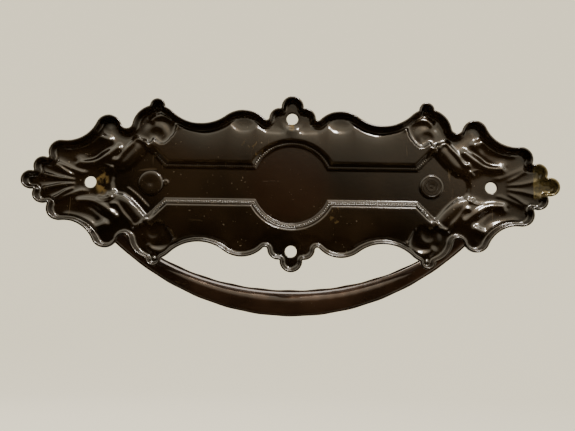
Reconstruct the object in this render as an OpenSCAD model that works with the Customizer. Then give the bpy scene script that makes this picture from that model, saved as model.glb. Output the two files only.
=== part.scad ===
// Stamped bail pull for a drawer: a scrolled sheet backplate, two riveted posts and a hollow bail that
// swings on two end pins. X runs along the plate, Z is up and -Y faces the room. The origin is the middle
// of the plate on its back plane, which sits on the drawer front.

/* [Backplate] */
// Length of the plate from tip to tip
plate_length = 133.4; // [120:0.1:160]
// Height of the scrolled body, from the upper scrolls' tops to the lower scrolls' bottoms
body_height = 38.8; // [37:0.1:46.6]
// How far a finial stands beyond the body
finial_rise = 2.7; // [2:0.1:4]
// Thickness of the sheet
sheet = 0.55; // [0.4:0.05:0.8]
// Depth of the cove that runs round the edge
cove_depth = 2.8; // [2:0.1:4]
// Width of the cove at the scrolls
cove_width = 2.7; // [2:0.1:3]
// Depth of the flat side panels
panel_depth = 2.0; // [1.5:0.1:2.2]

/* [Central channel] */
// Depth of the channel that carries the posts
channel_depth = 3.2; // [2.9:0.1:4.5]
// Half height of the channel's floor
channel_half = 3.8; // [3.3:0.1:4.4]
// Width of the narrow ledge beside the channel
ledge_width = 1.7; // [1.2:0.1:2]
// Depth of the ledge
ledge_depth = 2.5; // [2.3:0.1:2.8]
// Radius of the round boss in the middle
boss_r = 9.75; // [7:0.05:10]

/* [Fixing holes] */
// Distance from an end tip to its hole
end_hole_inset = 16.5; // [14:0.1:19]
// Distance from a finial's top to its hole
finial_hole_inset = 5.3; // [5:0.1:6]
// Diameter of a fixing hole
hole_d = 2.9; // [2.4:0.1:3.2]

/* [Posts] */
// Distance between the two posts
post_spacing = 70.3; // [58:0.1:76]
// Distance of the bail's pivot in front of the plate's back plane
pivot_height = 11; // [9.5:0.1:14]
// Radius of the ball that holds the pivot
ball_r = 3.6; // [3:0.1:4.2]
// Radius of the flange that seats on the plate
flange_r = 4.3; // [3.2:0.1:4.6]
// Thickness of the flange
flange_t = 0.9; // [0.6:0.1:1.2]
// Radius of the shank through the plate
shank_r = 2.0; // [1.6:0.1:2.4]
// Radius of the rivet tail on the back
tail_r = 3.1; // [2.9:0.1:3.6]
// Height of the rivet tail
tail_t = 0.9; // [0.6:0.1:1.4]

/* [Bail] */
// Drop from the pivot to the middle of the bail's grip
bail_drop = 29.3; // [28:0.1:36]
// Radius of the corner between the grip and the pivot
corner_r = 6.5; // [6:0.1:7.5]
// Half width of the grip at its middle
grip_half = 3.4; // [2.8:0.1:4]
// Half width of the bail at its ends
end_half = 1.9; // [1.8:0.05:2.2]
// Height of the front shell at the middle
front_crown = 2.7; // [2:0.1:3.2]
// Height of the back shell at the middle
back_crown = 1.9; // [1.7:0.1:2.4]
// Width of the front shell's folded edge
hem = 0.95; // [0.8:0.05:1.1]
// Straight length of the bail beside each post
straight = 1.6; // [1.5:0.1:3]
// Radius of the pivot pin
pin_r = 1.35; // [1.1:0.05:1.5]

/* [Fits] */
// Radial clearance of a pin that turns in a post
running = 0.05; // [0.02:0.01:0.09]
// Radial clearance of a shank in the sheet
riveted = 0.02; // [0.01:0.01:0.05]
// Gap between a bail end and its post
side_gap = 0.25; // [0.2:0.05:0.5]

/* [Hidden] */
$fn = 96;
eps = 0.01;
dark_bronze = "#2b2019";
turned_bronze = "#33261d";
worn_brass = "#6d5a33";

half_length = plate_length / 2;
body_half = body_height / 2;
finial_half = body_half + finial_rise;
end_hole_x = half_length - end_hole_inset;
finial_hole_z = finial_half - finial_hole_inset;
post_x = post_spacing / 2;
floor_front = channel_depth + sheet;

// ---- Outline: a chain of round lobes, each pair blended by a hollow arc that touches both --------------

// The scrollwork keeps its proportions, so lobes spread with the plate's length and height.
stretch_x = half_length / 66.7;
stretch_z = body_half / 19.1;
stretch_r = (stretch_x + stretch_z) / 2;
function lobe(x, z, r, hollow) = [x * stretch_x, z * stretch_z, r * stretch_r, hollow * stretch_r];
function finial_lobe(x, down, r, hollow) = [x * stretch_x, finial_half - down, r, hollow];

// One quarter of the chain, from the end tip to the finial: centre x, centre z, radius, and the radius of
// the hollow that leads to the next lobe.
quarter = [
    lobe(64.4, 0, 2.3, 0.2),
    lobe(61.4, 3.4, 2.35, 0.3),
    lobe(57.2, 6.9, 3.0, 8.0),
    lobe(45.7, 13.2, 3.2, 1.4),
    lobe(34.0, 13.2, 5.9, 0.4),
    lobe(33.7, 18.8, 1.9, 0.4),
    lobe(34.0, 13.2, 5.9, 10.2),
    lobe(12.2, 10.9, 7.3, 0.6),
    finial_lobe(3.15, 5.75, 2.7, 0.2),
    finial_lobe(0, 2.8, 2.8, 0.2)
];

// The raised panel's own chain inside the cove, with its wavy upper edge. Each lobe's top is a cove's width
// and a little more below the body's edge.
function panel_lobe(x, below, r, hollow) = [x * stretch_x, body_half - cove_width - below - r, r, hollow];
panel = [
    [43 * stretch_x, 0, 3.0, 3.0],
    panel_lobe(33.9, 0, 4.6, 6.5),
    panel_lobe(15.6, 2.0, 3.0, 0.7),
    panel_lobe(9.0, 2.4, 2.8, 2.0),
    panel_lobe(0, 3.3, 2.9, 2.0)
];

// Turns a quarter chain into the whole closed chain, mirroring the hollows' radii with the lobes.
function flip(c, sx, sz) = [sx * c[0], sz * c[1], c[2], c[3]];
function backwards(q, sx, sz) =
    [for (i = [len(q) - 1:-1:0]) [sx * q[i][0], sz * q[i][1], q[i][2], q[max(i - 1, 0)][3]]];
function rest(v, from, to) = [for (i = [from:to]) v[i]];
function whole(q) = let (n = len(q)) concat(
    rest(q, 0, n - 1),
    rest(backwards(q, -1, 1), 1, n - 1),
    rest([for (c = q) flip(c, -1, -1)], 1, n - 1),
    rest(backwards(q, 1, -1), 1, n - 2)
);

// Hollow between circles a and b: its centre and radius. It touches both from outside, on the right-hand
// side of the way from a to b, which is outside the plate. A gap too wide for it makes it larger.
function seat(a, b, r0) =
    let (
        d = [b[0] - a[0], b[1] - a[1]],
        gap = norm(d),
        r = max(r0, (gap - a[2] - b[2]) / 2 + 0.15),
        ra = a[2] + r,
        rb = b[2] + r,
        along = (ra * ra - rb * rb + gap * gap) / (2 * gap),
        out = sqrt(ra * ra - along * along)
    )
    [a[0] + (d[0] * along + d[1] * out) / gap, a[1] + (d[1] * along - d[0] * out) / gap, r];

function direction(from, to) = atan2(to[1] - from[1], to[0] - from[0]);
function arc(c, r, a0, a1, steps) =
    [for (i = [0:steps]) [c[0] + r * cos(a0 + (a1 - a0) * i / steps), c[1] + r * sin(a0 + (a1 - a0) * i / steps)]];
function turn(a, b) = let (t = b - a) t - 360 * floor(t / 360);

// Closed outline of a chain, moved inwards by inset. Lobes are walked anticlockwise and hollows clockwise.
function outline(chain, inset) =
    let (
        n = len(chain),
        seats = [for (i = [0:n - 1]) seat(chain[i], chain[(i + 1) % n], chain[i][3])]
    )
    [for (i = [0:n - 1])
        let (
            c = chain[i],
            before = seats[(i + n - 1) % n],
            after = seats[i],
            next = chain[(i + 1) % n],
            from = direction(c, before),
            bend = turn(from, direction(c, after)),
            hollow_from = direction(after, c),
            hollow_bend = turn(direction(after, next), hollow_from),
            lobe_steps = max(2, ceil(bend / 18)),
            hollow_steps = max(2, ceil(hollow_bend / 20))
        )
        each concat(
            arc(c, max(c[2] - inset, 0.02), from, from + bend, lobe_steps),
            arc(after, after[2] + inset, hollow_from, hollow_from - hollow_bend, hollow_steps)
        )
    ];

module plate_shape(inset) {
    polygon(outline(whole(quarter), inset));
}

module panel_shape(inset) {
    polygon(outline(whole(panel), inset));
}

// Channel along the plate, with the round boss in the middle, a flared pocket round each post and a neck
// towards each end hole.
channel_end = post_x - 3.9;
flare_x = post_x + 0.7;
flare_z = channel_half + 4.1;
neck_x = end_hole_x - 7.4;
neck_half = 2.4;
module channel_shape(grow) {
    circle(r = boss_r + grow);
    square([2 * channel_end, 2 * (channel_half + grow)], center = true);
    for (side = [-1, 1])
        translate([side * post_x, 0])
            circle(r = tail_r + 0.7 + grow);
    for (side = [-1, 1])
        mirror([side < 0 ? 1 : 0, 0])
            polygon([
                [channel_end - 1, -(channel_half + grow)],
                [channel_end, -(channel_half + grow)],
                [flare_x, -(flare_z + grow)],
                [neck_x + grow, -(neck_half + grow)],
                [neck_x + grow, neck_half + grow],
                [flare_x, flare_z + grow],
                [channel_end, channel_half + grow],
                [channel_end - 1, channel_half + grow]
            ]);
}

// ---- Backplate -----------------------------------------------------------------------------------------

// A flat shape pressed out of the back plane: it lies between two depths in front of it.
module pressed(back, front) {
    rotate([90, 0, 0])
        translate([0, 0, back])
            linear_extrude(front - back)
                children();
}

// A ring of sheet between two flat shapes, the second cut out of the first.
module ring() {
    difference() {
        children(0);
        children(1);
    }
}

module drilled(x, z, r) {
    translate([x, eps, z])
        rotate([90, 0, 0])
            cylinder(r = r, h = floor_front + 1);
}

// One sheet: a steep rim, a cove, raised panels and the deep channel with its ledge.
module backplate() {
    cove_front = cove_depth + sheet;
    color(dark_bronze)
        difference() {
            union() {
                // rim that stands on the drawer front
                pressed(0, cove_front) ring() { plate_shape(0); plate_shape(sheet); }
                // floor of the cove and of the two fan-shaped ends
                pressed(cove_depth, cove_front) ring() { plate_shape(0); panel_shape(sheet); }
                // step from the cove back to the panels, and the panels
                pressed(panel_depth, cove_front) ring() { panel_shape(0); panel_shape(sheet); }
                pressed(panel_depth, panel_depth + sheet)
                    ring() { panel_shape(0); channel_shape(ledge_width); }
                // step from the panels to the ledge, and the ledge
                pressed(panel_depth, ledge_depth + sheet)
                    ring() { channel_shape(ledge_width + sheet); channel_shape(ledge_width); }
                pressed(ledge_depth, ledge_depth + sheet)
                    ring() { channel_shape(ledge_width + sheet); channel_shape(0); }
                // step from the ledge to the channel, and its floor
                pressed(ledge_depth, floor_front) ring() { channel_shape(sheet); channel_shape(0); }
                pressed(channel_depth, floor_front) channel_shape(sheet);
            }
            for (side = [-1, 1]) {
                drilled(side * end_hole_x, 0, hole_d / 2);
                drilled(0, side * finial_hole_z, hole_d / 2);
                drilled(side * post_x, 0, shank_r + riveted);
            }
        }
}

// ---- Posts ---------------------------------------------------------------------------------------------

// Turned post along -Y: rivet tail, shank, flange, neck, ball with the cross bore, and a small button.
module post() {
    tail_bevel = 0.4;
    tail_back = channel_depth - tail_t;
    neck_r = ball_r - 1.2;
    skirt_front = floor_front + flange_t + 1.2;
    color(turned_bronze)
        difference() {
            rotate([90, 0, 0]) {
                translate([0, 0, tail_back])
                    cylinder(r1 = tail_r - tail_bevel, r2 = tail_r, h = tail_bevel);
                translate([0, 0, tail_back + tail_bevel])
                    cylinder(r = tail_r, h = tail_t - tail_bevel);
                translate([0, 0, channel_depth - eps])
                    cylinder(r = shank_r, h = sheet + 2 * eps);
                translate([0, 0, floor_front])
                    cylinder(r = flange_r, h = flange_t);
                translate([0, 0, floor_front + flange_t - eps])
                    cylinder(r1 = flange_r - 0.7, r2 = neck_r, h = skirt_front - floor_front - flange_t);
                translate([0, 0, floor_front])
                    cylinder(r = neck_r, h = pivot_height - floor_front);
                translate([0, 0, pivot_height])
                    sphere(r = ball_r);
                translate([0, 0, pivot_height + ball_r - 0.5])
                    cylinder(r1 = ball_r / 2, r2 = ball_r / 3, h = 1.1);
            }
            translate([0, -pivot_height, 0])
                rotate([0, 90, 0])
                    cylinder(r = pin_r + running, h = 3 * ball_r, center = true);
        }
}

module left_post() {
    translate([-post_x, 0, 0])
        post();
}

module right_post() {
    translate([post_x, 0, 0])
        post();
}

// ---- Bail ----------------------------------------------------------------------------------------------

collar_t = 0.6;
collar_x = post_x + ball_r + side_gap;
shell_end = collar_x + collar_t;
corner_x = shell_end + straight;
// the grip's long curve reaches the drop and runs smoothly into both corners
grip_r = (pow(corner_x, 2) / (bail_drop - 2 * corner_r) + bail_drop) / 2;
grip_centre = grip_r - bail_drop;
grip_turn = atan2(corner_x, grip_centre + corner_r);
corner_turn = 180 - grip_turn;
plug_r = end_half - hem - 0.05;
plug_length = straight - 0.2;
grip_steps = 12;
corner_steps = 9;

// Stations along the middle line of one half of the bail, from the middle of the grip to the end face:
// x, z, the angle of the line's left-hand normal, and how far the taper has gone.
half_line = concat(
    [for (i = [0:grip_steps])
        let (a = grip_turn * i / grip_steps)
        [grip_r * sin(a), grip_centre - grip_r * cos(a), a + 90, a / grip_turn]],
    [for (i = [1:corner_steps])
        let (a = grip_turn + corner_turn * i / corner_steps)
        [corner_x + corner_r * sin(a), -corner_r - corner_r * cos(a), a + 90, 1]],
    [[shell_end, 0, 270, 1]]
);
bail_line = concat(
    [for (i = [len(half_line) - 1:-1:1])
        let (s = half_line[i])
        [-s[0], s[1], 180 - s[2], s[3]]],
    half_line
);
last = len(bail_line) - 1;
taper_bend = 81;
function swell(t) = pow(cos(taper_bend * t), 2) - pow(cos(taper_bend), 2) * t;
function between(mid, end, t) = end + (mid - end) * swell(t);

// Half a ring of points across the bail at station s: a half ellipse from one edge over the crown to the
// other, side -1 for the front and 1 for the back.
section_steps = 8;
function half_ring(s, half, crown, side) =
    [for (i = [0:section_steps])
        let (
            a = 180 * i / section_steps,
            across = half * cos(a),
            rise = crown * sin(a)
        )
        [s[0] + across * cos(s[2]), -pivot_height + side * rise, s[1] + across * sin(s[2])]];
function reversed(v) = [for (i = [len(v) - 1:-1:0]) v[i]];

// Closed shell between an outer and an inner half ellipse, swept along the bail's line.
module shell(half_mid, half_end, crown_mid, crown_end, rim, side) {
    ring = 2 * (section_steps + 1);
    points = [for (s = bail_line)
        let (
            half = between(half_mid, half_end, s[3]),
            crown = between(crown_mid, crown_end, s[3])
        )
        each concat(
            half_ring(s, half, crown, side),
            reversed(half_ring(s, half - rim, crown - sheet, side))
        )];
    skin = [for (k = [0:last - 1], i = [0:ring - 1])
        let (a = k * ring + i, b = k * ring + (i + 1) % ring)
        each [[a, b, b + ring], [a, b + ring, a + ring]]];
    caps = [for (i = [0:section_steps - 1])
        let (o = last * ring)
        each [
            [i, ring - 1 - i, ring - 2 - i], [i, ring - 2 - i, i + 1],
            [o + i, o + i + 1, o + ring - 2 - i], [o + i, o + ring - 2 - i, o + ring - 1 - i]
        ]];
    faces = concat(skin, caps);
    polyhedron(points, side < 0 ? faces : [for (f = faces) reversed(f)]);
}

// Front shell of the hollow bail, with its folded edge.
module bail_front() {
    color(dark_bronze)
        shell(grip_half, end_half, front_crown, end_half, hem, -1);
}

// Smooth back shell, a little narrower, seated on the front shell's folded edge.
module bail_back() {
    step = hem - sheet;
    color(dark_bronze)
        shell(grip_half - step, end_half - step, back_crown, end_half, sheet, 1);
}

// End pin: a plug in the hollow bail, a collar against its end face and a journal through the post.
module pivot() {
    journal_end = post_x - ball_r - side_gap;
    color(worn_brass)
        translate([0, -pivot_height, 0])
            rotate([0, 90, 0]) {
                translate([0, 0, journal_end])
                    cylinder(r1 = pin_r - 0.3, r2 = pin_r, h = 0.3);
                translate([0, 0, journal_end + 0.3])
                    cylinder(r = pin_r, h = collar_x - journal_end - 0.3 + eps);
                translate([0, 0, collar_x])
                    cylinder(r = end_half, h = collar_t);
                translate([0, 0, shell_end - eps])
                    cylinder(r = plug_r, h = plug_length);
            }
}

module left_pivot() {
    mirror([1, 0, 0])
        pivot();
}

module right_pivot() {
    pivot();
}

backplate();
left_post();
right_post();
bail_front();
bail_back();
left_pivot();
right_pivot();
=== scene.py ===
import math

import bmesh
import bpy
import numpy as np
from mathutils import Matrix, Vector, geometry


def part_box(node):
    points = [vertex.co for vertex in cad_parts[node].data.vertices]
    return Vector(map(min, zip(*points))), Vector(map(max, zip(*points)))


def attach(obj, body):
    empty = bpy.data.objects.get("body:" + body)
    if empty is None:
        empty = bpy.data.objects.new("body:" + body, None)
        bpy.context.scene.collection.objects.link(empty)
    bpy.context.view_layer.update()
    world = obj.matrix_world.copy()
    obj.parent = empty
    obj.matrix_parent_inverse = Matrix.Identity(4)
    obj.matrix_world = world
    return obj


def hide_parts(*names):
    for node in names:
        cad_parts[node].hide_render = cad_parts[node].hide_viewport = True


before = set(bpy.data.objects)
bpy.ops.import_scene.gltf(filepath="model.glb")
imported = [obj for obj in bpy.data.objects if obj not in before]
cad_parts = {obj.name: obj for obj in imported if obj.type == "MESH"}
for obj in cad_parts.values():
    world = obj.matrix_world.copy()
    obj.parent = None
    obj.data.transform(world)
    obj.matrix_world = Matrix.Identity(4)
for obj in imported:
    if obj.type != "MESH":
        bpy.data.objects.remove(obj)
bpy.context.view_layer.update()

MM = 0.001

# ---- Camera -------------------------------------------------------------------------------------------
# The pull is looked at from behind, a little from below, as it is when it lies face down on a bench and
# the bench is tipped up. The camera is a hand's width away and turned a little about its own axis.

look_at = Vector((0.97, 0.0, -8.12)) * MM
camera_away = 200 * MM
camera_below = math.radians(7.44)
camera_aside = math.radians(0.94)
camera_roll = math.radians(0.71)
back_axis = Vector((
    math.sin(camera_aside) * math.cos(camera_below),
    math.cos(camera_aside) * math.cos(camera_below),
    -math.sin(camera_below),
))
level_right = Vector((-math.cos(camera_aside), math.sin(camera_aside), 0))
level_up = back_axis.cross(level_right)
right_axis = level_right * math.cos(camera_roll) + level_up * math.sin(camera_roll)
up_axis = level_up * math.cos(camera_roll) - level_right * math.sin(camera_roll)
camera_data = bpy.data.cameras.new("camera")
camera_data.sensor_width = 36
camera_data.lens = 50.95
camera_data.clip_start = 0.01
camera_data.clip_end = 10
camera = bpy.data.objects.new("camera", camera_data)
turned = Matrix((right_axis, up_axis, back_axis)).transposed().to_4x4()
camera.matrix_world = Matrix.Translation(look_at + back_axis * camera_away) @ turned
bpy.context.scene.collection.objects.link(camera)
bpy.context.scene.camera = camera

# ---- Studio -------------------------------------------------------------------------------------------
# A round pale sweep of matt paper stands all round: a floor that curves up into a wall. A small
# bright lamp stands above the far side, beside a weak window, and two broad ones light the top and front.

SWEEP_LEVEL = -0.13
SWEEP_REACH = 1.3
SWEEP_BEND = 0.4


def link_mesh(name, points, faces, smooth=True):
    mesh = bpy.data.meshes.new(name)
    mesh.from_pydata([tuple(p) for p in points], [], [tuple(f) for f in faces])
    mesh.validate()
    shaped = bmesh.new()
    shaped.from_mesh(mesh)
    bmesh.ops.recalc_face_normals(shaped, faces=shaped.faces)
    shaped.to_mesh(mesh)
    shaped.free()
    mesh.shade_smooth() if smooth else mesh.shade_flat()
    made = bpy.data.objects.new(name, mesh)
    bpy.context.scene.collection.objects.link(made)
    return made


def new_finish(name):
    finish = bpy.data.materials.new(name)
    finish.use_nodes = True
    finish.node_tree.nodes.clear()
    return finish, finish.node_tree.nodes, finish.node_tree.links


sweep_profile = [(0.0, SWEEP_LEVEL), (SWEEP_REACH - SWEEP_BEND, SWEEP_LEVEL)]
for step in range(1, 13):
    turn = math.radians(90) * step / 12
    sweep_profile.append((
        SWEEP_REACH - SWEEP_BEND + SWEEP_BEND * math.sin(turn),
        SWEEP_LEVEL + SWEEP_BEND * (1 - math.cos(turn)),
    ))
sweep_profile += [(SWEEP_REACH, 1.6), (0.6, 2.3), (0.0, 2.4)]
around = 64
sweep_points = []
for radius, level in sweep_profile:
    for k in range(around):
        bearing = 2 * math.pi * k / around
        sweep_points.append((radius * math.cos(bearing), radius * math.sin(bearing), level))
sweep_faces = []
for j in range(len(sweep_profile) - 1):
    for k in range(around):
        a, b = j * around + k, j * around + (k + 1) % around
        sweep_faces.append((b, a, a + around, b + around))
sweep = link_mesh("paper_sweep", sweep_points, sweep_faces)
sweep.visible_glossy = False
paper, nodes, links = new_finish("pale_paper")
paper_out = nodes.new("ShaderNodeOutputMaterial")
paper_glow = nodes.new("ShaderNodeEmission")
paper_glow.inputs["Color"].default_value = (0.86, 0.79, 0.585, 1)
paper_glow.inputs["Strength"].default_value = 1.0
paper_matt = nodes.new("ShaderNodeBsdfDiffuse")
paper_matt.inputs["Color"].default_value = (0.30, 0.285, 0.26, 1)
paper_both = nodes.new("ShaderNodeAddShader")
links.new(paper_glow.outputs[0], paper_both.inputs[0])
links.new(paper_matt.outputs[0], paper_both.inputs[1])
links.new(paper_both.outputs[0], paper_out.inputs["Surface"])
sweep.data.materials.append(paper)


def soft_light(name, place, width, height, power, tint, target=(0, 0, 0)):
    data = bpy.data.lights.new(name, "AREA")
    data.shape = "RECTANGLE"
    data.size = width
    data.size_y = height
    data.energy = power
    data.color = tint
    lamp = bpy.data.objects.new(name, data)
    lamp.location = place
    lamp.rotation_mode = "QUATERNION"
    lamp.rotation_quaternion = (Vector(target) - Vector(place)).to_track_quat("-Z", "Y")
    lamp.visible_camera = False
    bpy.context.scene.collection.objects.link(lamp)
    return lamp


soft_light("lamp", (-0.15, 0.44, 0.37), 0.10, 0.08, 2.2, (1.0, 0.97, 0.92))
soft_light("overhead", (-0.10, -0.02, 0.55), 0.45, 0.30, 2.6, (1.0, 0.98, 0.93))
soft_light("window", (-0.40, 0.46, 0.42), 0.24, 0.20, 0.45, (1.0, 0.95, 0.86))
soft_light("front_fill", (0.35, -0.6, 0.5), 0.5, 0.5, 4.5, (1.0, 0.97, 0.93))

# What the lacquer mirrors: a dark room on the near side, getting paler overhead and on the far side.
room = bpy.data.worlds.new("room")
bpy.context.scene.world = room
room.use_nodes = True
nodes = room.node_tree.nodes
links = room.node_tree.links
nodes.clear()
room_out = nodes.new("ShaderNodeOutputWorld")
room_light = nodes.new("ShaderNodeBackground")
room_way = nodes.new("ShaderNodeTexCoord")
room_lean = nodes.new("ShaderNodeVectorMath")
room_lean.operation = "DOT_PRODUCT"
room_lean.inputs[1].default_value = (-0.22, -0.50, 0.72)
room_span = nodes.new("ShaderNodeMapRange")
room_span.inputs["From Min"].default_value = -1
room_span.inputs["From Max"].default_value = 1
room_ramp = nodes.new("ShaderNodeValToRGB")
links.new(room_way.outputs["Generated"], room_lean.inputs[0])
links.new(room_lean.outputs["Value"], room_span.inputs["Value"])
links.new(room_span.outputs[0], room_ramp.inputs[0])
stops = room_ramp.color_ramp.elements
stops[0].position = 0.26
stops[0].color = (0.0017, 0.0013, 0.0008, 1)
stops[1].position = 0.92
stops[1].color = (0.42, 0.40, 0.33, 1)
for position, tint in (
    (0.295, (0.0035, 0.0026, 0.0015)), (0.318, (0.014, 0.011, 0.007)), (0.345, (0.155, 0.138, 0.105)),
    (0.375, (0.23, 0.21, 0.16)), (0.41, (0.44, 0.41, 0.32)), (0.47, (0.36, 0.34, 0.27)),
    (0.56, (0.80, 0.77, 0.64)), (0.66, (0.50, 0.48, 0.39)),
):
    stops.new(position).color = (*tint, 1)
links.new(room_ramp.outputs[0], room_light.inputs["Color"])
# the near side of the room is dimmer, so the front of the pull stays dark as well
room_split = nodes.new("ShaderNodeSeparateXYZ")
room_dim = nodes.new("ShaderNodeMapRange")
room_dim.inputs["From Min"].default_value = -0.20
room_dim.inputs["From Max"].default_value = 0.45
room_dim.inputs["To Min"].default_value = 0.7
room_dim.inputs["To Max"].default_value = 3.0
links.new(room_way.outputs["Generated"], room_split.inputs[0])
links.new(room_split.outputs["Y"], room_dim.inputs["Value"])
links.new(room_dim.outputs[0], room_light.inputs["Strength"])
links.new(room_light.outputs[0], room_out.inputs["Surface"])

# ---- Backplate ----------------------------------------------------------------------------------------
# One piece of thin brass sheet, drawn in a die: the rim stands on the drawer, a cove runs round inside it,
# then come raised panels, a sunk channel with a round boss, volutes, ears and fluted fans at the ends. It
# was dipped in dark bronze lacquer, which has worn off one tip and stained round the holes.

_, plate_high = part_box("backplate")
half_length = 66.7
finial_top = plate_high.z / MM
body_half = finial_top - 2.7
SHEET = 0.55
COVE = 2.8
CHANNEL = 3.2
BOSS_R = 9.75
CHANNEL_HALF = 3.8
HOLE_R = 1.45
END_HOLE_X = half_length - 16.5
FINIAL_HOLE_Z = finial_top - 5.3
RIVET_X = 35.15
RIVET_HOLE_R = 2.02
POINT_GAP = 0.22

stretch_x = half_length / 66.7
stretch_z = body_half / 19.1
stretch_r = (stretch_x + stretch_z) / 2


def lobe(x, z, r, hollow):
    return (x * stretch_x, z * stretch_z, r * stretch_r, hollow * stretch_r)


# One quarter of the outline as round lobes: centre, radius, and the radius of the hollow that follows.
quarter = [
    lobe(64.4, 0, 2.3, 0.2),
    lobe(61.4, 3.4, 2.35, 0.3),
    lobe(57.2, 6.9, 3.0, 8.0),
    lobe(45.7, 13.2, 3.2, 1.4),
    lobe(34.0, 13.2, 5.9, 0.4),
    lobe(33.7, 18.8, 1.9, 0.4),
    lobe(34.0, 13.2, 5.9, 10.2),
    lobe(12.2, 10.9, 7.3, 0.6),
    (3.15 * stretch_x, finial_top - 5.75, 2.7, 0.2),
    (0.0, finial_top - 2.8, 2.8, 0.2),
]


def backwards(chain, sx, sz):
    return [
        (sx * chain[i][0], sz * chain[i][1], chain[i][2], chain[max(i - 1, 0)][3])
        for i in reversed(range(len(chain)))
    ]


def whole(chain):
    flipped = [(-x, -z, r, hollow) for x, z, r, hollow in chain]
    return chain + backwards(chain, -1, 1)[1:] + flipped[1:] + backwards(chain, 1, -1)[1:-1]


def seat(a, b):
    """Centre and radius of the hollow that touches lobes a and b from outside."""
    dx, dz = b[0] - a[0], b[1] - a[1]
    gap = math.hypot(dx, dz)
    r = max(a[3], (gap - a[2] - b[2]) / 2 + 0.15)
    ra, rb = a[2] + r, b[2] + r
    along = (ra * ra - rb * rb + gap * gap) / (2 * gap)
    out = math.sqrt(ra * ra - along * along)
    return (a[0] + (dx * along + dz * out) / gap, a[1] + (dz * along - dx * out) / gap, r)


def outline_arcs():
    """The closed outline as arcs: centre, radius, start angle, signed bend and number of steps."""
    chain = whole(quarter)
    count = len(chain)
    seats = [seat(chain[i], chain[(i + 1) % count]) for i in range(count)]
    arcs = []
    for i, here in enumerate(chain):
        before, after, following = seats[i - 1], seats[i], chain[(i + 1) % count]
        start = math.atan2(before[1] - here[1], before[0] - here[0])
        bend = (math.atan2(after[1] - here[1], after[0] - here[0]) - start) % (2 * math.pi)
        steps = max(3, math.ceil(bend * here[2] / POINT_GAP))
        arcs.append((here[0], here[1], here[2], start, bend, steps, -1))
        start = math.atan2(here[1] - after[1], here[0] - after[0])
        ahead = math.atan2(following[1] - after[1], following[0] - after[0])
        bend = (start - ahead) % (2 * math.pi)
        steps = max(4, math.ceil(bend * (after[2] + 0.8) / POINT_GAP))
        arcs.append((after[0], after[1], after[2], start, -bend, steps, 1))
    return arcs


ARCS = outline_arcs()


def outline(inset):
    """The closed outline moved inwards, always with the same number of points."""
    points = []
    for cx, cz, radius, start, bend, steps, side in ARCS:
        reach = max(radius + side * inset, 0.02)
        for k in range(steps):
            angle = start + bend * k / steps
            points.append((cx + reach * math.cos(angle), cz + reach * math.sin(angle)))
    return np.array(points)


def away(points, line):
    """Distance from each point to a line of points, and how far along the line its nearest point is."""
    best = np.full(len(points), 1e9)
    where = np.zeros(len(points))
    run = 0.0
    for (ax, az), (bx, bz) in zip(line[:-1], line[1:]):
        dx, dz = bx - ax, bz - az
        length = math.hypot(dx, dz)
        if length < 1e-9:
            continue
        t = ((points[:, 0] - ax) * dx + (points[:, 1] - az) * dz) / length ** 2
        t = np.clip(t, 0, 1)
        gap = np.hypot(points[:, 0] - ax - t * dx, points[:, 1] - az - t * dz)
        nearer = gap < best
        best = np.where(nearer, gap, best)
        where = np.where(nearer, run + t * length, where)
        run += length
    return best, where


def inside(points, corners):
    """True for each point within a closed polygon."""
    found = np.zeros(len(points), bool)
    x, z = points[:, 0], points[:, 1]
    for (ax, az), (bx, bz) in zip(corners, corners[1:] + corners[:1]):
        if az == bz:
            continue
        crosses = (az > z) != (bz > z)
        found ^= crosses & (x < (bx - ax) * (z - az) / (bz - az) + ax)
    return found


def signed(points, corners):
    """Distance to a closed polygon, less than nothing within it."""
    gap, _ = away(points, corners + corners[:1])
    return np.where(inside(points, corners), -gap, gap)


def flowing(knots, steps=5):
    """A smooth line through the knots."""
    ends = [knots[0]] + list(knots) + [knots[-1]]
    line = []
    for p0, p1, p2, p3 in zip(ends, ends[1:], ends[2:], ends[3:]):
        for k in range(steps):
            t = k / steps
            line.append(tuple(
                0.5 * (2 * b + (c - a) * t + (2 * a - 5 * b + 4 * c - d) * t * t
                       + (3 * b - a - 3 * c + d) * t ** 3)
                for a, b, c, d in zip(p0, p1, p2, p3)
            ))
    return line + [tuple(knots[-1])]


def ease(value, low, high):
    t = np.clip((value - low) / (high - low), 0, 1)
    return t * t * (3 - 2 * t)


# The die was cut to a drawing, and the sheet was stretched this much over it.
DIE_X = 1.0125
DIE_Z = 1.02


def die(*pairs):
    return [(x * DIE_X, z * DIE_Z) for x, z in pairs]


crest = (
    die((0.9, 14.2), (1.7, 12.7), (3.0, 12.4), (6.4, 12.6), (9.0, 14.1))
    + flowing(die((9.0, 14.1), (10.6, 13.0), (12.8, 12.8), (14.3, 13.4), (15.4, 14.5)))[1:]
    + flowing(die((15.4, 14.5), (18.2, 13.0), (21.5, 12.2), (24.3, 12.9), (26.4, 14.1), (28.6, 15.5)))[1:]
)
volute_foot = (
    flowing(die(
        (28.6, 15.5), (28.5, 14.3), (29.3, 12.3), (30.6, 10.6), (32.1, 9.6), (33.3, 9.9), (34.2, 10.7),
    ))
    + flowing(die((34.2, 10.7), (35.0, 9.9), (35.8, 9.7), (36.3, 10.05)))[1:]
)
scroll_inner = flowing(die(
    (35.6, 7.9), (37.5, 5.4), (39.3, 3.7), (41.0, 2.5), (42.7, 2.2), (43.5, 2.7), (44.5, 3.7),
    (46.1, 4.2), (47.2, 4.0),
))
scroll_outer = flowing(die((36.3, 10.05), (38.4, 10.8), (39.6, 9.6), (41.3, 7.7), (42.8, 5.7), (43.8, 5.5)))
scroll_middle = flowing(die((36.6, 9.2), (38.0, 8.2), (39.6, 6.4), (41.2, 4.8), (42.8, 4.2), (44.2, 4.6)))
scroll_rib = flowing(die((35.3, 5.9), (36.3, 4.8), (38.2, 3.0), (40.3, 1.4)))
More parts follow.
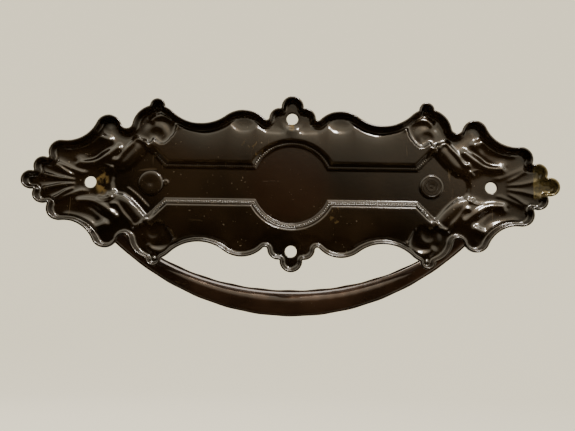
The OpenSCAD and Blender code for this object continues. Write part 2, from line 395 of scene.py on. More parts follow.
volute_arc = flowing(die((28.1, 14.9), (29.3, 16.3), (31.5, 16.8), (33.7, 16.4), (34.7, 15.6)))
ear_upper = flowing(die((45.2, 10.2), (46.0, 10.7), (48.0, 11.2), (49.6, 10.1), (51.6, 9.5), (54.9, 9.0)))
ear_lower = flowing(die((43.0, 8.4), (45.8, 6.4), (48.2, 5.0), (50.2, 4.7), (52.2, 4.9)))
ear_crease = flowing(die((53.2, 5.0), (50.3, 5.6), (48.6, 6.3), (47.4, 7.3), (45.6, 8.7), (44.8, 10.0)))
fan_first = die((64.2, 2.4), (60.7, 1.7), (57.3, 0.9), (53.8, 0.5))
fan_second = flowing(die((60.3, 6.0), (58.7, 4.4), (57.0, 3.4), (55.8, 2.6), (53.9, 1.7)))
fan_third = flowing(die((58.6, 5.0), (56.1, 4.0), (53.0, 2.7), (50.5, 1.9)))
hook = die((44.3, 3.7), (45.1, 3.0))
VOLUTE_EYE = (33.7 * DIE_X, 12.1 * DIE_Z)

# The channel's floor in one quarter, carried on past both centre lines, and the line round its edge.
channel_corners = die(
    (-20, -20), (-20, 3.73), (31.3, 3.73), (35.4, 7.8), (37.5, 5.4), (39.3, 3.7), (41.0, 2.5), (42.7, 2.2),
    (43.4, 1.3), (43.6, 0), (43.6, -20),
)
boss_start = math.acos(0.0)
boss_stop = math.asin(CHANNEL_HALF / BOSS_R)
boss_line = [
    (BOSS_R * math.cos(a), BOSS_R * math.sin(a)) for a in np.linspace(boss_start, boss_stop, 40)
]
channel_line = boss_line + die((31.3, 3.73), (35.4, 7.8))
panel_corners = (
    die((-20, -20), (-20, 14.2))
    + crest
    + volute_foot[1:]
    + die((35.9, 8.6), (35.6, 7.9), (35.4, -20))
)
rim_line = [tuple(p) for p in outline(0)]
rim_line = rim_line[: len(rim_line) // 4 + 12]
rim_line = [(rim_line[0][0], -1.0)] + rim_line

BEAD_PITCH = 0.58
COVE_START = 1.35


def cove_floor(x):
    """The cove is drawn less deep along the body than at the ends."""
    return COVE - 0.46 * (1 - ease(np.abs(x), 27.0, 31.0))


def to_channel(points):
    """Distance to the edge of the channel and its boss, less than nothing within them."""
    return np.minimum(signed(points, channel_corners), np.hypot(points[:, 0], points[:, 1]) - BOSS_R)


def depth(x, z):
    """How far in front of the drawer the sheet's back face is, in millimetres, at each point."""
    p = np.column_stack([np.abs(x), np.abs(z)])
    edge, _ = away(p, rim_line)
    # cove that rises to a wavy crest, with the panel behind it
    to_crest, _ = away(p, crest)
    in_panel = inside(p, panel_corners)
    floor = cove_floor(x)
    cove = 2.0 + (floor - 2.0) * (1 - np.exp(-to_crest / 1.05))
    panel = 1.80 + 0.20 * np.exp(-to_crest / 2.5)
    crest_end = ease(p[:, 0], 26.5, 30.0)
    h = np.where(in_panel, panel, cove * (1 - crest_end) + COVE * crest_end)
    # ground of the ears and fans: deepest along the rim, a little raised in the middle
    raised = ease(edge, 1.8, 4.5) * ease(p[:, 0], 36.0, 40.0) * (1 - ease(p[:, 0], 46.5, 49.0))
    raised = raised * ease(p[:, 1], 2.0, 5.5)
    h = h - 0.22 * raised
    # volute: a dish with a ridge round it and a sunk eye
    eye_gap = np.hypot(p[:, 0] - VOLUTE_EYE[0], p[:, 1] - VOLUTE_EYE[1])
    to_foot, _ = away(p, volute_foot)
    dish = 2.56 + 0.05 * np.exp(-(eye_gap / 1.3) ** 4)
    dish = dish - 0.04 * np.exp(-((eye_gap - 1.8) / 0.5) ** 2)
    in_dish = (~in_panel) & (p[:, 0] > 24)
    mixed = ease(3.8 - eye_gap, 0, 1.6)
    h = np.where(in_dish, h * (1 - mixed) + dish * mixed, h)
    h = np.where(in_dish, h - 0.42 * np.exp(-(to_foot / 0.60) ** 2), h)
    to_arc, _ = away(p, volute_arc)
    h = h - 0.38 * np.exp(-(to_arc / 0.85) ** 2)
    # scroll between the channel's flare and the ear
    to_outer, _ = away(p, scroll_outer)
    to_inner, _ = away(p, scroll_inner)
    to_middle, _ = away(p, scroll_middle)
    h = h - 0.32 * np.exp(-(to_middle / 1.7) ** 2)
    h = h - 0.34 * np.exp(-(to_outer / 0.60) ** 2)
    # one of the four scrolls is struck more crisply than the others
    struck = (x > 0) & (z < 0)
    crisp = np.where(struck, 1.0, 0.25)
    h = h - 0.20 * np.exp(-(to_inner / 0.28) ** 2)
    h = h - 0.16 * crisp * np.exp(-((to_inner - 0.6) / 0.16) ** 2)
    # ears: two ridges with a trough between them
    to_upper, _ = away(p, ear_upper)
    to_lower, _ = away(p, ear_lower)
    to_crease, _ = away(p, ear_crease)
    h = h - 0.50 * np.exp(-(to_upper / 1.05) ** 2)
    h = h - 0.58 * np.exp(-(to_lower / 1.00) ** 2)
    h = h + 0.16 * np.exp(-(to_crease / 0.55) ** 2)
    # fan: sharp ridges between hollow flutes, much weaker at one end
    for line, tall, wide in ((fan_first, 0.66, 0.40), (fan_second, 0.66, 0.40), (fan_third, 0.42, 0.5)):
        gap, _ = away(p, line)
        tall = tall * ease(p[:, 0], 52.8, 56.5) if line is not fan_third else tall
        tall = tall * np.where(x > 0, 0.9, 0.2)
        h = h - tall * (0.65 * np.exp(-(gap / wide) ** 2) + 0.35 * np.exp(-(gap / 1.1) ** 2))
    gap, _ = away(p, hook)
    h = h - 0.22 * np.exp(-(gap / 0.35) ** 2)
    # small bud above the volute
    bud_gap = np.hypot(p[:, 0] - 33.7 * stretch_x, p[:, 1] - 18.8 * stretch_z)
    h = h - 0.5 * np.exp(-(bud_gap / 0.6) ** 2)
    # channel with its boss, ledge and beading
    channel_gap = to_channel(p)
    rise = np.interp(
        channel_gap,
        [0.0, 0.10, 0.26, 0.36, 0.85, 1.00, 1.60, 1.80, 2.1],
        [0.0, 0.04, 0.30, 0.36, 0.44, 0.50, 0.93, 0.99, 1.0],
    )
    near = channel_gap < 2.1
    beyond_flare = ease(p[:, 0], 33.5, 36.0)
    level = np.minimum(h, CHANNEL)
    stepped = CHANNEL + (level - CHANNEL) * rise
    soft = CHANNEL + (level - CHANNEL) * ease(channel_gap, 0.0, 1.1)
    h = np.where(near, stepped * (1 - beyond_flare) + soft * beyond_flare, h)
    h = np.where(channel_gap <= 0, CHANNEL, h)
    _, bead_run = away(p, channel_line)
    bead = 0.5 + 0.5 * np.cos(2 * math.pi * bead_run / BEAD_PITCH)
    window = np.exp(-((channel_gap - 0.62) / 0.22) ** 4) * (1 - ease(p[:, 0], 33.5, 34.5))
    h = h - 0.16 * bead * window
    # raised rib beside the rivet, under the crisp scroll only
    gap, _ = away(p, scroll_rib)
    h = h - 0.18 * struck * np.exp(-(gap / 0.20) ** 2)
    # small ring pip beside one rivet
    gap = np.hypot(x - 31.5, z - 0.15)
    h = h - 0.24 * np.exp(-((gap - 0.42) / 0.16) ** 2)
    # flat ground round the fixing holes
    for hx, hz in ((END_HOLE_X, 0.0), (0.0, FINIAL_HOLE_Z)):
        gap = np.hypot(p[:, 0] - hx, p[:, 1] - hz)
        flat = 1 - ease(gap, 1.7, 3.2)
        h = h * (1 - flat) + floor * flat
    blend = ease(edge, COVE_START, COVE_START + 0.6)
    return floor * (1 - blend) + h * blend


# Rim section: inset from the edge and depth, from the cut edge down the wall into the cove.
rim_back = [
    (0.55, 0.0), (0.565, 0.4), (0.59, 0.9), (0.63, 1.4), (0.71, 1.85), (0.84, 2.25), (1.03, 2.58),
    (COVE_START, COVE),
]
rim_front = []
for i, (d, h) in enumerate(rim_back):
    d0, h0 = rim_back[max(i - 1, 0)]
    d1, h1 = rim_back[min(i + 1, len(rim_back) - 1)]
    span = math.hypot(d1 - d0, h1 - h0)
    rim_front.append((max(d - SHEET * (h1 - h0) / span, 0.0), h + SHEET * (d1 - d0) / span))
rim_front[0] = (0.0, 0.0)
rim_front[-1] = (COVE_START, COVE + SHEET)

holes = [
    (END_HOLE_X, 0.0, HOLE_R), (-END_HOLE_X, 0.0, HOLE_R),
    (0.0, FINIAL_HOLE_Z, HOLE_R), (0.0, -FINIAL_HOLE_Z, HOLE_R),
    (RIVET_X, 0.0, RIVET_HOLE_R), (-RIVET_X, 0.0, RIVET_HOLE_R),
]
HOLE_STEPS = 48


def honeycomb(half_width, half_height, pitch):
    """Evenly staggered points over a rectangle."""
    rows = []
    for j, z in enumerate(np.arange(-half_height, half_height, pitch * 0.866)):
        x = np.arange(-half_width, half_width, pitch) + 0.5 * pitch * (j % 2)
        rows.append(np.column_stack([x, np.full(len(x), z)]))
    return np.vstack(rows)


def plate_plan():
    """Points and triangles of the sheet in plan, inside the rim, with the holes left open."""
    ring = outline(COVE_START)
    plan = [tuple(p) for p in ring]
    edges = [(i, (i + 1) % len(ring)) for i in range(len(ring))]
    hole_rings = []
    for cx, cz, radius in holes:
        for extra in (0.0, 0.12, 0.35):
            first = len(plan)
            for k in range(HOLE_STEPS):
                angle = 2 * math.pi * (k + 0.5 * (extra > 0.2)) / HOLE_STEPS
                reach = radius + extra
                plan.append((cx + reach * math.cos(angle), cz + reach * math.sin(angle)))
            if extra == 0.0:
                hole_rings.append(list(range(first, first + HOLE_STEPS)))
                edges += [(first + k, first + (k + 1) % HOLE_STEPS) for k in range(HOLE_STEPS)]
    grid = honeycomb(66.6, 22.2, 0.30)
    folded = np.abs(grid)
    edge, _ = away(folded, rim_line)
    closed = [tuple(p) for p in ring[::2]]
    keep = inside(grid, closed) & (edge > COVE_START + 0.16)
    for cx, cz, radius in holes:
        keep &= np.hypot(grid[:, 0] - cx, grid[:, 1] - cz) > radius + 0.5
    channel_gap = to_channel(folded)
    on_ledge = (channel_gap > -0.1) & (channel_gap < 2.2) & (folded[:, 0] < 35)
    plan += [tuple(p) for p in grid[keep & ~on_ledge]]
    grid = honeycomb(35.0, 12.5, 0.15)
    folded = np.abs(grid)
    channel_gap = to_channel(folded)
    keep = (channel_gap > -0.1) & (channel_gap < 2.2)
    plan += [tuple(p) for p in grid[keep]]
    return plan, edges, hole_rings


plan, plan_edges, hole_rings = plate_plan()
flat_points, _, triangles, origins, _, _ = geometry.delaunay_2d_cdt(
    [Vector(p) for p in plan], plan_edges, [], 1, 1e-5
)
new_index = {}
for made_index, sources in enumerate(origins):
    for source in sources:
        new_index[source] = made_index
flat = np.array([tuple(p) for p in flat_points])
keep_triangles = []
for tri in triangles:
    cx, cz = flat[list(tri)].mean(0)
    if all(math.hypot(cx - hx, cz - hz) > hr for hx, hz, hr in holes):
        keep_triangles.append(tuple(tri))
ring_count = len(outline(COVE_START))
back_depth = depth(flat[:, 0], flat[:, 1])
step = 0.05
slope_x = (depth(flat[:, 0] + step, flat[:, 1]) - depth(flat[:, 0] - step, flat[:, 1])) / (2 * step)
slope_z = (depth(flat[:, 0], flat[:, 1] + step) - depth(flat[:, 0], flat[:, 1] - step)) / (2 * step)
thick = SHEET * np.minimum(np.sqrt(1 + slope_x ** 2 + slope_z ** 2), 1.45)
ring_index = [new_index[i] for i in range(ring_count)]
back_depth[ring_index] = cove_floor(flat[ring_index, 0])
thick[ring_index] = SHEET
front_depth = back_depth + thick
for lip in hole_rings:
    for source in lip:
        made_index = new_index[source]
        back_depth[made_index] += 0.07
        front_depth[made_index] -= 0.05

points = [(x, -h, z) for (x, z), h in zip(flat, back_depth)]
front_at = len(points)
points += [(x, -h, z) for (x, z), h in zip(flat, front_depth)]
faces = []
for a, b, c in keep_triangles:
    ab = flat[b] - flat[a]
    ac = flat[c] - flat[a]
    if ab[0] * ac[1] - ab[1] * ac[0] > 0:
        b, c = c, b
    faces.append((a, b, c))
    faces.append((front_at + a, front_at + c, front_at + b))
back_rings, front_rings = [], []
ring_x = outline(COVE_START)[:, 0]
for (db, hb), (df, hf) in zip(rim_back[:-1], rim_front[:-1]):
    back_rings.append(list(range(len(points), len(points) + ring_count)))
    share = cove_floor(ring_x) / COVE
    points += [(x, -hb * f, z) for (x, z), f in zip(outline(db), share)]
    front_rings.append(list(range(len(points), len(points) + ring_count)))
    points += [(x, hb * (1 - f) - hf, z) for (x, z), f in zip(outline(df), share)]
back_rings.append(ring_index)
front_rings.append([front_at + i for i in ring_index])
for outer, inner in zip(back_rings[:-1], back_rings[1:]):
    for k in range(ring_count):
        n = (k + 1) % ring_count
        faces.append((outer[k], inner[k], inner[n], outer[n]))
for outer, inner in zip(front_rings[:-1], front_rings[1:]):
    for k in range(ring_count):
        n = (k + 1) % ring_count
        faces.append((outer[k], outer[n], inner[n], inner[k]))
for k in range(ring_count):
    n = (k + 1) % ring_count
    faces.append((back_rings[0][k], back_rings[0][n], front_rings[0][n], front_rings[0][k]))
for lip in hole_rings:
    for k in range(HOLE_STEPS):
        a, b = new_index[lip[k]], new_index[lip[(k + 1) % HOLE_STEPS]]
        faces.append((a, b, front_at + b, front_at + a))
backplate = link_mesh("backplate_sheet", np.array(points) * MM, faces)
reach = 0.45
around_mean = (
    depth(flat[:, 0] + reach, flat[:, 1]) + depth(flat[:, 0] - reach, flat[:, 1])
    + depth(flat[:, 0], flat[:, 1] + reach) + depth(flat[:, 0], flat[:, 1] - reach)
) / 4
bend = around_mean - depth(flat[:, 0], flat[:, 1])
ridge = np.zeros(len(points), np.float32)
ridge[: len(flat)] = ease(bend, 0.02, 0.16)
ridge[front_at: front_at + len(flat)] = ease(-bend, 0.02, 0.16)
ridge_layer = backplate.data.attributes.new("ridge", "FLOAT", "POINT")
ridge_layer.data.foreach_set("value", ridge)


def wire(links, value, socket):
    """Joins an output to a socket, or sets the socket where the value is a plain number."""
    if isinstance(value, (int, float)):
        socket.default_value = value
    else:
        links.new(value, socket)


def reckon(nodes, links, operation, *values):
    made = nodes.new("ShaderNodeMath")
    made.operation = operation
    for value, socket in zip(values, made.inputs):
        wire(links, value, socket)
    return made.outputs[0]


def spread(nodes, links, value, low, high, to_low=0.0, to_high=1.0):
    """A smooth step of a value from one range to another."""
    made = nodes.new("ShaderNodeMapRange")
    made.interpolation_type = "SMOOTHSTEP"
    made.inputs["From Min"].default_value = low
    made.inputs["From Max"].default_value = high
    made.inputs["To Min"].default_value = to_low
    made.inputs["To Max"].default_value = to_high
    wire(links, value, made.inputs["Value"])
    return made.outputs[0]


def speckle(nodes, links, place, per_metre, detail=3.0, squeeze=None, lean=0.0):
    """Cloudy noise of a given fineness, drawn out along one way if squeezed."""
    made = nodes.new("ShaderNodeTexNoise")
    made.inputs["Scale"].default_value = per_metre
    made.inputs["Detail"].default_value = detail
    source = place
    if squeeze:
        drawn_out = nodes.new("ShaderNodeMapping")
        drawn_out.inputs["Scale"].default_value = squeeze
        drawn_out.inputs["Rotation"].default_value = (0, lean, 0)
        links.new(place, drawn_out.inputs["Vector"])
        source = drawn_out.outputs[0]
    links.new(source, made.inputs["Vector"])
    return made.outputs["Fac"]


def stain(nodes, links, place, centre, size):
    """1 at a place on the piece, given in millimetres, falling to 0 at its edge."""
    shift = nodes.new("ShaderNodeMapping")
    shift.vector_type = "TEXTURE"
    shift.inputs["Location"].default_value = Vector(centre) * MM
    shift.inputs["Scale"].default_value = Vector(size) * MM
    links.new(place, shift.inputs["Vector"])
    far = nodes.new("ShaderNodeVectorMath")
    far.operation = "LENGTH"
    links.new(shift.outputs[0], far.inputs[0])
    return spread(nodes, links, far.outputs["Value"], 0.55, 1.0, 1.0, 0.0)


def tinted(nodes, links, amount, below, above):
    """Mixes two colours, or an output and a colour, by an amount."""
    made = nodes.new("ShaderNodeMix")
    made.data_type = "RGBA"
    wire(links, amount, made.inputs[0])
    for value, socket in ((below, made.inputs[6]), (above, made.inputs[7])):
        if isinstance(value, tuple):
            socket.default_value = (*value, 1)
        else:
            links.new(value, socket)
    return made.outputs[2]


def lacquer(name, base, ruddy, metal=0.0, gloss=0.3, coat=1.0, marks=None):
    """Dark bronze lacquer over brass: mottled brown, hairline scratches and a fine dusty grain."""
    finish, nodes, links = new_finish(name)
    out = nodes.new("ShaderNodeOutputMaterial")
    skin = nodes.new("ShaderNodeBsdfPrincipled")
    links.new(skin.outputs[0], out.inputs["Surface"])
    skin.inputs["Coat IOR"].default_value = 1.6
    skin.inputs["Coat Roughness"].default_value = 0.09
    skin.inputs["Specular IOR Level"].default_value = 0.3
    skin.inputs["Specular Tint"].default_value = (1.0, 0.72, 0.45, 1)
    place = nodes.new("ShaderNodeTexCoord").outputs["Object"]
    cloud = speckle(nodes, links, place, 55, 6)
    colour = tinted(nodes, links, spread(nodes, links, cloud, 0.35, 0.68), base, ruddy)
    # hairline scratches along and across, and dust
    along = spread(nodes, links, speckle(nodes, links, place, 900, 2, (0.10, 1, 1), 0.12), 0.70, 0.76)
    across = spread(nodes, links, speckle(nodes, links, place, 1100, 2, (1, 1, 0.08), 0.35), 0.70, 0.76)
    slant = spread(nodes, links, speckle(nodes, links, place, 1000, 2, (0.08, 1, 1), -0.95), 0.70, 0.76)
    scratches = reckon(nodes, links, "MAXIMUM", reckon(nodes, links, "MAXIMUM", along, across), slant)
    patchy = spread(nodes, links, speckle(nodes, links, place, 90, 2), 0.48, 0.62)
    scratches = reckon(nodes, links, "MULTIPLY", scratches, patchy)
    dust = spread(nodes, links, speckle(nodes, links, place, 1500, 1), 0.735, 0.76)
    dust = reckon(nodes, links, "MULTIPLY", dust, spread(nodes, links, cloud, 0.45, 0.6))
    faint = reckon(nodes, links, "MULTIPLY", scratches, 0.40)
    colour = tinted(nodes, links, faint, colour, (0.065, 0.046, 0.026))
    dusty = reckon(nodes, links, "MULTIPLY", dust, 0.6)
    colour = tinted(nodes, links, dusty, colour, (0.16, 0.13, 0.095))
    metalness, roughness = metal, spread(nodes, links, cloud, 0.3, 0.7, gloss - 0.06, gloss + 0.10)
    roughness = reckon(nodes, links, "ADD", roughness, reckon(nodes, links, "MULTIPLY", scratches, 0.15))
    if marks:
        colour, metalness, roughness, coat = marks(nodes, links, place, colour, metalness, roughness)
    bump = nodes.new("ShaderNodeBump")
    bump.inputs["Strength"].default_value = 0.35
    bump.inputs["Distance"].default_value = 0.00002
    grain = speckle(nodes, links, place, 1400, 3)
    pitted = reckon(nodes, links, "SUBTRACT", grain, reckon(nodes, links, "MULTIPLY", scratches, 0.8))
    links.new(pitted, bump.inputs["Height"])
    links.new(bump.outputs[0], skin.inputs["Normal"])
    links.new(bump.outputs[0], skin.inputs["Coat Normal"])
    links.new(colour, skin.inputs["Base Color"])
    wire(links, metalness, skin.inputs["Metallic"])
    wire(links, roughness, skin.inputs["Roughness"])
    wire(links, coat, skin.inputs["Coat Weight"])
    return finish


def plate_marks(nodes, links, place, colour, metalness, roughness):
    """Rubbed brass at one tip, ochre residue by the holes and the boss, and a redder middle."""
    rough_edge = speckle(nodes, links, place, 420, 5)
    blotch = speckle(nodes, links, place, 900, 5)
    red = stain(nodes, links, place, (1, -2.5, 0), (13, 6, 12))
    red = reckon(nodes, links, "MULTIPLY", red, 0.75)
    colour = tinted(nodes, links, red, colour, (0.012, 0.0040, 0.0014))
    ridge = nodes.new("ShaderNodeAttribute")
    ridge.attribute_name = "ridge"
    uneven = spread(nodes, links, rough_edge, 0.35, 0.7)
    rubbed = reckon(nodes, links, "MULTIPLY", ridge.outputs["Fac"], uneven)
    rubbed = reckon(nodes, links, "MULTIPLY", rubbed, 0.55)
    colour = tinted(nodes, links, rubbed, colour, (0.060, 0.042, 0.024))
    # residue: a broad smear beside one end hole, a spot by the upper finial's hole, specks by the boss
    smear = stain(nodes, links, place, (47.3, -2.5, 0.2), (2.0, 5, 4.0))
    spot = stain(nodes, links, place, (0.2, -2.5, 14.6), (0.9, 4, 1.2))
    by_hole = reckon(nodes, links, "MAXIMUM", smear, spot)
    by_hole = reckon(nodes, links, "MULTIPLY", by_hole, spread(nodes, links, rough_edge, 0.43, 0.56))
    upper = stain(nodes, links, place, (9.8, -2, 8.6), (3.4, 4, 4.2))
    lower = stain(nodes, links, place, (-11.3, -2, -8.0), (2.4, 4, 3.2))
    specks = reckon(nodes, links, "MAXIMUM", upper, lower)
    specks = reckon(nodes, links, "MULTIPLY", specks, spread(nodes, links, blotch, 0.60, 0.66))
    residue = reckon(nodes, links, "MAXIMUM", by_hole, reckon(nodes, links, "MULTIPLY", specks, 0.38))
    residue = reckon(nodes, links, "MULTIPLY", residue, 0.85)
    colour = tinted(nodes, links, residue, colour, (0.105, 0.068, 0.022))
    # worn tip: a straight-edged patch of bare, dull brass
    split = nodes.new("ShaderNodeSeparateXYZ")
    links.new(place, split.inputs[0])
    ragged = reckon(nodes, links, "MULTIPLY", reckon(nodes, links, "SUBTRACT", rough_edge, 0.5), 0.0012)
    edge = reckon(nodes, links, "ADD", split.outputs["X"], ragged)
    bare = spread(nodes, links, edge, -0.0611, -0.0607, 1.0, 0.0)
    above = spread(nodes, links, split.outputs["Z"], -0.0030, -0.0018)
    bare = reckon(nodes, links, "MULTIPLY", bare, above)
    bare = reckon(nodes, links, "MULTIPLY", bare, spread(nodes, links, rough_edge, 0.25, 0.55, 0.55, 1.0))
    patches = spread(nodes, links, blotch, 0.35, 0.65)
    brass = tinted(nodes, links, patches, (0.042, 0.033, 0.013), (0.140, 0.106, 0.042))
    colour = tinted(nodes, links, bare, colour, brass)
    metalness = reckon(nodes, links, "MAXIMUM", metalness, reckon(nodes, links, "MULTIPLY", bare, 0.75))
    dry = reckon(nodes, links, "MAXIMUM", residue, reckon(nodes, links, "MULTIPLY", bare, 0.35))
    roughness = reckon(nodes, links, "ADD", roughness, reckon(nodes, links, "MULTIPLY", dry, 0.35))
    coat = reckon(nodes, links, "SUBTRACT", 1.0, reckon(nodes, links, "MULTIPLY", dry, 0.8))
    return colour, metalness, roughness, coat


plate_finish = lacquer("plate_lacquer", (0.0045, 0.0026, 0.0010), (0.0110, 0.0054, 0.0019), metal=0.35,
                       gloss=0.25, marks=plate_marks)
backplate.data.materials.append(plate_finish)
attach(backplate, "plate")
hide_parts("backplate")

# ---- Posts --------------------------------------------------------------------------------------------
# Two posts turned from brass rod and riveted through the channel: a flat tail on the back, a flange and a
# waist in front, and a ball that is drilled across for the bail's pin, with a small button on its nose.

PIVOT_DEPTH = 11.0
BALL_R = 3.6
BORE_R = 1.40
# Points nearer than this are joined after a cut.
WELD = 0.003


def turned_piece(name, profile, along, place, steps=72):
    """A lathe shape from (radius, distance along the axis) pairs that start and end on the axis."""
    along = Vector(along)
    side = Vector((0, 0, 1)).cross(along).normalized() if abs(along.z) < 0.9 else Vector((1, 0, 0))
    other = along.cross(side)
    points, rows = [], []
    for radius, distance in profile:
        centre = Vector(place) + along * distance
        if radius < 1e-6:
            rows.append([len(points)] * steps)
            points.append(centre)
            continue
        rows.append(list(range(len(points), len(points) + steps)))
        for k in range(steps):
            angle = 2 * math.pi * k / steps
            points.append(centre + (side * math.cos(angle) + other * math.sin(angle)) * radius)
    faces = []
    for low, high in zip(rows[:-1], rows[1:]):
        for k in range(steps):
            n = (k + 1) % steps
            corners = [low[k], low[n], high[n], high[k]]
            face = [c for i, c in enumerate(corners) if c not in corners[:i]]
            if len(face) > 2:
                faces.append(face)
    return link_mesh(name, [p * MM for p in points], faces)


def cut_away(piece, cutter):
    """Takes the cutter's shape out of a piece and throws the cutter away."""
    cut = piece.modifiers.new("bore", "BOOLEAN")
    cut.operation = "DIFFERENCE"
    cut.solver = "EXACT"
    cut.object = cutter
    bpy.context.view_layer.update()
    bored = bpy.data.meshes.new_from_object(piece.evaluated_get(bpy.context.evaluated_depsgraph_get()))
    piece.modifiers.clear()
    # weld the slivers that the cut leaves along the bore's edge
    welded = bmesh.new()
    welded.from_mesh(bored)
    bmesh.ops.remove_doubles(welded, verts=welded.verts, dist=WELD * MM)
    bmesh.ops.dissolve_degenerate(welded, edges=welded.edges, dist=WELD * MM)
    welded.to_mesh(bored)
    welded.free()
    piece.data = bored
    bpy.data.objects.remove(cutter)


def post_profile(ringed):
    tail = [(0.0, 2.42), (0.5, 2.36), (1.2, 2.33), (2.0, 2.32), (2.6, 2.33)]
    if ringed:
        tail = [
            (0.0, 2.33), (0.35, 2.34), (0.45, 2.42), (0.60, 2.42), (0.70, 2.33), (1.25, 2.32),
            (1.35, 2.41), (1.50, 2.41), (1.60, 2.32), (2.15, 2.32), (2.25, 2.40), (2.38, 2.40),
            (2.48, 2.33), (2.66, 2.33),
        ]
    body = [
        (2.84, 2.38), (2.98, 2.50), (3.07, 2.70), (3.10, 2.95), (3.08, 3.195), (2.0, 3.20), (2.0, 3.75),
        (4.10, 3.755), (4.24, 3.82), (4.30, 3.96), (4.30, 4.42), (4.22, 4.58), (4.05, 4.65),
        (3.72, 4.66), (3.62, 4.72), (3.58, 4.84), (3.42, 5.02), (3.05, 5.25), (2.70, 5.55),
        (2.52, 5.85), (2.42, 6.20), (2.40, 6.70), (2.44, 7.20), (2.62, 7.45), (2.72, 7.62),
        (2.70, 7.80),
    ]
    start = math.asin(2.62 / BALL_R)
    ball = [
        (BALL_R * math.sin(a), PIVOT_DEPTH - BALL_R * math.cos(a))
        for a in np.linspace(start, math.pi - 0.48, 26)
    ]
    nose = [(1.64, 14.28), (1.72, 14.42), (1.74, 14.60), (1.66, 14.80), (1.48, 15.00), (1.20, 15.12),
            (0.80, 15.18), (0.40, 15.197), (0.0, 15.20)]
    return tail + body + ball + nose


post_finish = lacquer("post_lacquer", (0.0060, 0.0036, 0.0015), (0.0130, 0.0070, 0.0030), metal=0.4,
                      gloss=0.30)
for name, side, ringed in (("left_post", -1, True), ("right_post", 1, False)):
    post = turned_piece(name + "_turned", post_profile(ringed), (0, -1, 0), (side * RIVET_X, 0, 0))
    drill = turned_piece("drill", [(0, -6), (BORE_R, -6), (BORE_R, 6), (0, 6)], (1, 0, 0),
                         (side * RIVET_X, -PIVOT_DEPTH, 0), 48)
    cut_away(post, drill)
    post.data.shade_smooth()
    post.data.set_sharp_from_angle(angle=math.radians(35))
    post.data.materials.clear()
    post.data.materials.append(post_finish)
    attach(post, "plate")
    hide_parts(name)

# ---- Bail ---------------------------------------------------------------------------------------------
# The hollow handle is two long stampings: an embossed front with its edges rolled over, and a plain round
# back tucked inside the rolled edges. It swells in the middle, and the rolled edge is slightly uneven.

BAIL_DROP = 29.3
CORNER_R = 6.5
CORNER_X = 41.2
SHELL_END = 39.6
GRIP_HALF = 3.4
END_HALF = 1.9
FRONT_CROWN = 2.7
BACK_CROWN = 1.9
ROLLED = 0.20
grip_r = (CORNER_X ** 2 / (BAIL_DROP - 2 * CORNER_R) + BAIL_DROP) / 2
grip_centre = grip_r - BAIL_DROP
grip_turn = math.atan2(CORNER_X, grip_centre + CORNER_R)
grip_length = grip_r * grip_turn
corner_turn = math.pi - grip_turn


def bail_stations():
    """Along the handle's middle line: x, z, the angle of its inner side, the taper, and the run in mm."""
    half = []
    for k in range(121):
        a = grip_turn * k / 120
        half.append((grip_r * math.sin(a), grip_centre - grip_r * math.cos(a), a + math.pi / 2,
                     k / 120, grip_r * a))
    for k in range(1, 25):
        a = grip_turn + corner_turn * k / 24
        half.append((CORNER_X + CORNER_R * math.sin(a), -CORNER_R - CORNER_R * math.cos(a),
                     a + math.pi / 2, 1.0, grip_length + CORNER_R * corner_turn * k / 24))
    half.append((SHELL_END, 0.0, math.pi * 1.5, 1.0, half[-1][4] + CORNER_X - SHELL_END))
    mirrored = [(-x, z, math.pi - a, t, -run) for x, z, a, t, run in reversed(half[1:])]
    return mirrored + half


def between(middle, end, t):
    bend = math.radians(81)
    swell = math.cos(bend * t) ** 2 - math.cos(bend) ** 2 * t
    return end + (middle - end) * swell


def swept_shell(name, section):
    """Closed tube of sheet swept along the handle. section(t, run) gives a loop of (across, rise)."""
    stations = bail_stations()
    loops = [section(t, run) for _, _, _, t, run in stations]
    ring = len(loops[0])
    points = []
    for (x, z, a, _, _), loop in zip(stations, loops):
        for across, rise in loop:
            points.append((x + across * math.cos(a), -PIVOT_DEPTH - rise, z + across * math.sin(a)))
    faces = []
    for j in range(len(stations) - 1):
        for k in range(ring):
            a, b = j * ring + k, j * ring + (k + 1) % ring
            faces.append((a, a + ring, b + ring, b))
    last = (len(stations) - 1) * ring
    for k in range(ring // 2 - 1):
        i, o = ring - 1 - k, k
        faces.append((o, o + 1, i - 1, i))
        faces.append((last + o, last + i, last + i - 1, last + o + 1))
    return link_mesh(name, np.array(points) * MM, faces)


EMBOSS_STEPS = 40


def front_section(t, run):
    half = between(GRIP_HALF, END_HALF, t)
    crown = between(FRONT_CROWN, END_HALF, t)
    wave = 0.07 * (1 - math.cos(run * 2 * math.pi / 7.7)) * (1 - t ** 4)
    inner_half = half - wave
    outer_half = half - 0.7 * wave
    outer, inner = [], []
    for k in range(EMBOSS_STEPS + 1):
        s = math.pi * k / EMBOSS_STEPS
        across = math.cos(s)
        reach = inner_half if across > 0 else outer_half
        high = crown * math.sin(s)
        lean = run / 3.1 + 0.55 * across
        flute = 0.5 + 0.5 * math.cos(2 * math.pi * lean)
        middle = math.exp(-((abs(across) - 0.30) / 0.26) ** 4)
        relief = 0.20 * flute * middle * (1 - t ** 6)
        bead_line = 0.13 * math.exp(-((abs(across) - 0.74) / 0.055) ** 2) * (1 - t ** 6)
        pressed = high - relief - 0.10 * (1 - t) + bead_line * 0.8
        outer.append((reach * across, pressed if high > 0.3 else high))
        inner.append(((reach - 0.58) * across, max(high - 0.62 - 0.1 * (1 - t), 0.0) * 0.98))
    roll = [math.pi * k / 6 for k in range(1, 6)]
    start = [(inner_half - ROLLED + ROLLED * math.cos(b), -ROLLED * math.sin(b) * 0.8) for b in roll]
    stop = [
        (-outer_half + ROLLED - ROLLED * math.cos(b), -ROLLED * math.sin(b) * 0.8) for b in reversed(roll)
    ]
    return list(reversed(start)) + outer + list(reversed(stop)) + list(reversed(inner))


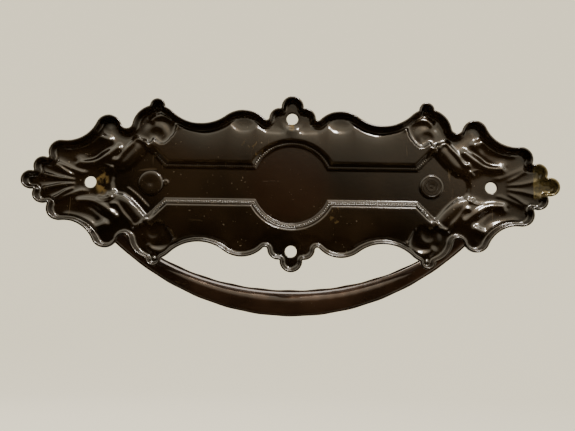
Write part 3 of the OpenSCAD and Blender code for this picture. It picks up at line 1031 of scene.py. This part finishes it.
def back_section(t, run):
    half = between(GRIP_HALF, END_HALF, t) - 0.42
    crown = between(BACK_CROWN, END_HALF, t)
    uneven = 0.012 * math.sin(run * 0.83) + 0.01 * math.sin(run * 1.9 + 1)
    outer, inner = [], []
    for k in range(33):
        s = math.pi * k / 32
        across, high = math.cos(s), math.sin(s)
        outer.append((half * across, -(crown - 0.02 + uneven) * high ** 0.94 - 0.001))
        inner.append(((half - SHEET) * across, -max((crown - SHEET) * high, 0.001)))
    return outer + list(reversed(inner))


bail_front = swept_shell("bail_front_embossed", front_section)
bail_back = swept_shell("bail_back_plain", back_section)
bail_finish = lacquer("bail_lacquer", (0.020, 0.0105, 0.0062), (0.044, 0.022, 0.0130), metal=0.6, gloss=0.28,
                      coat=0.85)
for piece, node in ((bail_front, "bail_front"), (bail_back, "bail_back")):
    piece.data.materials.append(bail_finish)
    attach(piece, "bail")
    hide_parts(node)

# ---- Pivot pins ---------------------------------------------------------------------------------------
# A short brass pin at each end of the bail: a plug pressed into the hollow end, a collar that closes it,
# and a bright journal that turns in the post.

PIN_R = 1.35
COLLAR_X = 39.0
JOURNAL_END = 31.3
pin_profile = [
    (0.0, JOURNAL_END + 0.03), (0.55, JOURNAL_END + 0.02), (0.95, JOURNAL_END), (1.2, JOURNAL_END + 0.12),
    (PIN_R, JOURNAL_END + 0.32), (PIN_R, 34.0), (PIN_R, 36.5), (PIN_R, COLLAR_X - 0.12),
    (1.45, COLLAR_X), (1.78, COLLAR_X + 0.02), (1.88, COLLAR_X + 0.12), (1.9, COLLAR_X + 0.3),
    (1.87, COLLAR_X + 0.5), (1.8, SHELL_END - 0.01), (0.9, SHELL_END), (0.9, 40.7), (0.75, 40.95),
    (0.0, 40.98),
]
pin_finish = lacquer("pin_brass_rubbed", (0.20, 0.14, 0.06), (0.32, 0.22, 0.10), metal=1.0, gloss=0.34,
                     coat=0.1)
for name, side in (("left_pivot", -1), ("right_pivot", 1)):
    pin = turned_piece(name + "_pin", pin_profile, (side, 0, 0), (0, -PIVOT_DEPTH, 0), 48)
    pin.data.set_sharp_from_angle(angle=math.radians(40))
    pin.data.materials.append(pin_finish)
    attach(pin, "bail")
    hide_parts(name)
